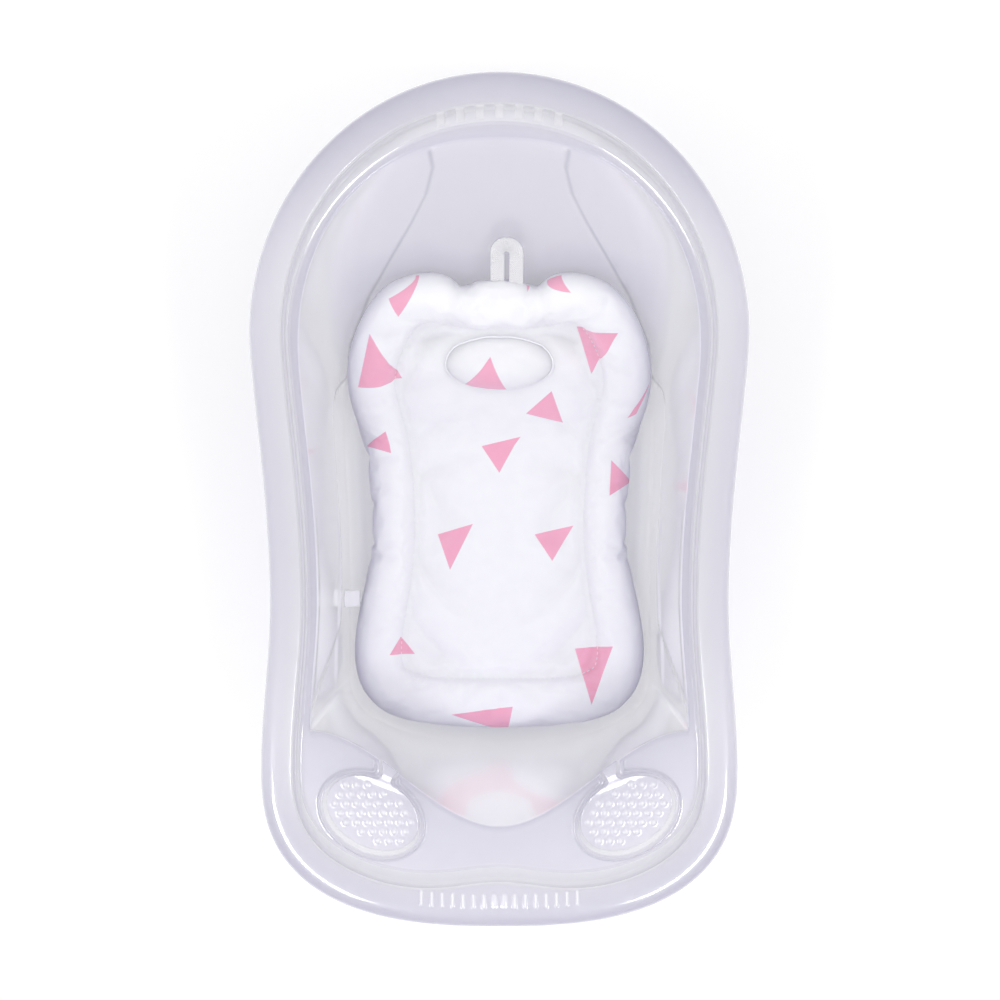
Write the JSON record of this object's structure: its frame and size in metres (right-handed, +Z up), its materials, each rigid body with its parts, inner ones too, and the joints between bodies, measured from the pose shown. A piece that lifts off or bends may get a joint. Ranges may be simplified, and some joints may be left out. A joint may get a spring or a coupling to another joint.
{
  "type": "baby bathtub",
  "caption": "Oval translucent baby bath with a sloped back, a shelf with nubbed soap dishes, legs, a drain stopper and a padded cushion with a hanging loop.",
  "frame": {"origin": "on the ground under the middle of the tub's rim, where the rubber feet stand", "axes": "+X across the tub, +Y towards the head end with the sloped back, +Z up"},
  "size_m": [0.5082, 0.868, 0.265],
  "materials": {
    "tub_plastic": "glossy, milky translucent polypropylene",
    "foot_rubber": "matt soft rubber",
    "plug_plastic": "satin moulded",
    "plug_seal": "matt silicone",
    "cushion_fabric": "smooth white knit with scattered pale pink triangles",
    "cushion_filling": "loose polyester filling",
    "cushion_net": "white mesh",
    "webbing": "ribbed white webbing",
    "tag_cloth": "blank satin label"
  },
  "bodies": {
    "tub": {"tub_shell": "tub_plastic", "foot_pad_foot_left": "foot_rubber", "foot_pad_foot_right": "foot_rubber", "foot_pad_head_left": "foot_rubber", "foot_pad_head_right": "foot_rubber"},
    "cushion": {"cushion_roll_cover": "cushion_fabric", "cushion_roll_fill": "cushion_filling", "cushion_seat_cover": "cushion_fabric", "cushion_seat_foam": "cushion_filling", "cushion_base_net": "cushion_net", "head_pillow": "cushion_fabric", "side_tag": "tag_cloth"},
    "drain_plug": {"drain_plug_cap": "plug_plastic", "drain_plug_seal": "plug_seal"},
    "loop": {"hanging_loop": "webbing"}
  },
  "joints": [
    {"name": "cushion_lift", "type": "slide", "parent": "tub", "child": "cushion", "axis": [0, 0, 1], "range_m": [0, 0.32]},
    {"name": "plug_pull", "type": "slide", "parent": "tub", "child": "drain_plug", "axis": [0, 0, 1], "range_m": [0, 0.01]},
    {"name": "loop_swing", "type": "hinge", "parent": "cushion", "child": "loop", "pos_m": [0.008, 0.22812, 0.1655], "axis": [1, 0, 0], "range_deg": [0, 100]}
  ]
}
